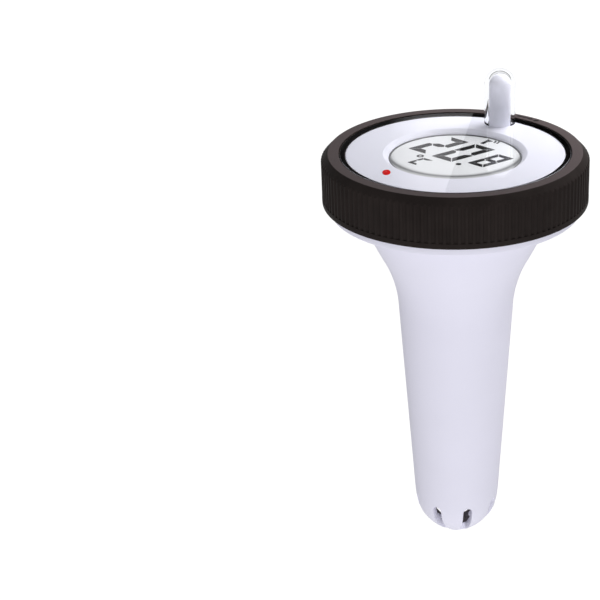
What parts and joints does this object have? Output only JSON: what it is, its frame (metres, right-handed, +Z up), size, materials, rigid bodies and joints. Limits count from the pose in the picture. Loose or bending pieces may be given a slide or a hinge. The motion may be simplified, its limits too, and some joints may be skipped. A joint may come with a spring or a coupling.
{
  "type": "floating pool thermometer",
  "caption": "Floating pool thermometer: round display head under a clear cover, fluted locking ring, funnel float tapering to a slotted probe dome, clear antenna finger on top.",
  "frame": {"origin": "centre of the flat underside of the float's flange, about the water line", "axes": "+Z up along the body's axis, out through the display; -Y is the side that faces the viewer with the red light at front left; +X to that viewer's right"},
  "size_m": [0.1, 0.1, 0.1859],
  "materials": {
    "float_white": "satin, fine grain",
    "ring_black": "satin",
    "clear_plastic": "clear, polished",
    "seal_black": "matt",
    "bezel_white": "semi-gloss",
    "lcd_glass": "satin polariser",
    "lcd_ink": "matt",
    "holder_black": "matt",
    "board_green": "solder mask",
    "antenna_brass": "drawn wire",
    "sheath_white": "satin",
    "led_red": "diffused",
    "shield_steel": "plated",
    "chip_black": "potting resin",
    "switch_black": "matt",
    "button_grey": "satin",
    "cell_jacket": "printed sleeve",
    "spring_steel": "nickel plated",
    "housing_grey": "satin",
    "probe_steel": "passivated",
    "ballast_steel": "zinc plated",
    "lead_black": "matt",
    "plug_ivory": "matt"
  },
  "bodies": {
    "float": {"float_body": "float_white", "module_bezel": "bezel_white", "window_gasket": "seal_black", "lcd_panel": "lcd_glass", "lcd_segments": "lcd_ink", "lcd_holder": "holder_black", "zebra_strips": "seal_black", "main_board": "board_green", "antenna_coil": "antenna_brass", "antenna_sheath": "sheath_white", "status_led": "led_red", "rf_module": "shield_steel", "controller_chip": "chip_black", "tact_switches": "switch_black", "channel_switch": "switch_black", "rear_housing": "housing_grey", "battery_cell_a": "cell_jacket", "battery_cell_b": "cell_jacket", "contact_springs": "spring_steel", "contact_plates": "spring_steel", "bridge_plate": "spring_steel", "housing_screws": "spring_steel", "probe_bulkhead": "housing_grey", "bulkhead_seal": "seal_black", "temperature_probe": "probe_steel", "probe_nut": "probe_steel", "sensor_bead": "chip_black", "probe_lead": "lead_black", "lead_plug": "plug_ivory", "plug_socket": "plug_ivory", "ballast_weight": "ballast_steel", "ballast_screws": "spring_steel"},
    "lid": {"clear_cover": "clear_plastic", "cover_gasket": "seal_black"},
    "ring": {"locking_ring": "ring_black"},
    "unit_button_body": {"unit_button": "button_grey"},
    "sync_button_body": {"sync_button": "button_grey"},
    "channel_slider_body": {"channel_slider": "button_grey"},
    "battery_door_body": {"battery_door": "housing_grey"}
  },
  "joints": [
    {"name": "lid_rise", "type": "slide", "parent": "float", "child": "lid", "axis": [0, 0, 1], "range_m": [0, 0.003]},
    {"name": "ring_turn", "type": "hinge", "parent": "lid", "child": "ring", "pos_m": [0, 0, 0], "axis": [0, 0, 1], "range_deg": [0, 45]},
    {"name": "unit_button_press", "type": "slide", "parent": "float", "child": "unit_button_body", "axis": [0, 0, 1], "range_m": [0, 0.0006], "stiffness_N_per_m": 400},
    {"name": "sync_button_press", "type": "slide", "parent": "float", "child": "sync_button_body", "axis": [0, 0, 1], "range_m": [0, 0.0006], "stiffness_N_per_m": 400},
    {"name": "channel_slide", "type": "slide", "parent": "float", "child": "channel_slider_body", "axis": [1, 0, 0], "range_m": [-0.002, 0.002]},
    {"name": "battery_door_slide", "type": "slide", "parent": "float", "child": "battery_door_body", "axis": [0, 0, -1], "range_m": [0, 0.005]}
  ],
  "couplings": [
    {"joint": "lid_rise", "follows": "ring_turn", "m_per_rad": 0.0038}
  ]
}
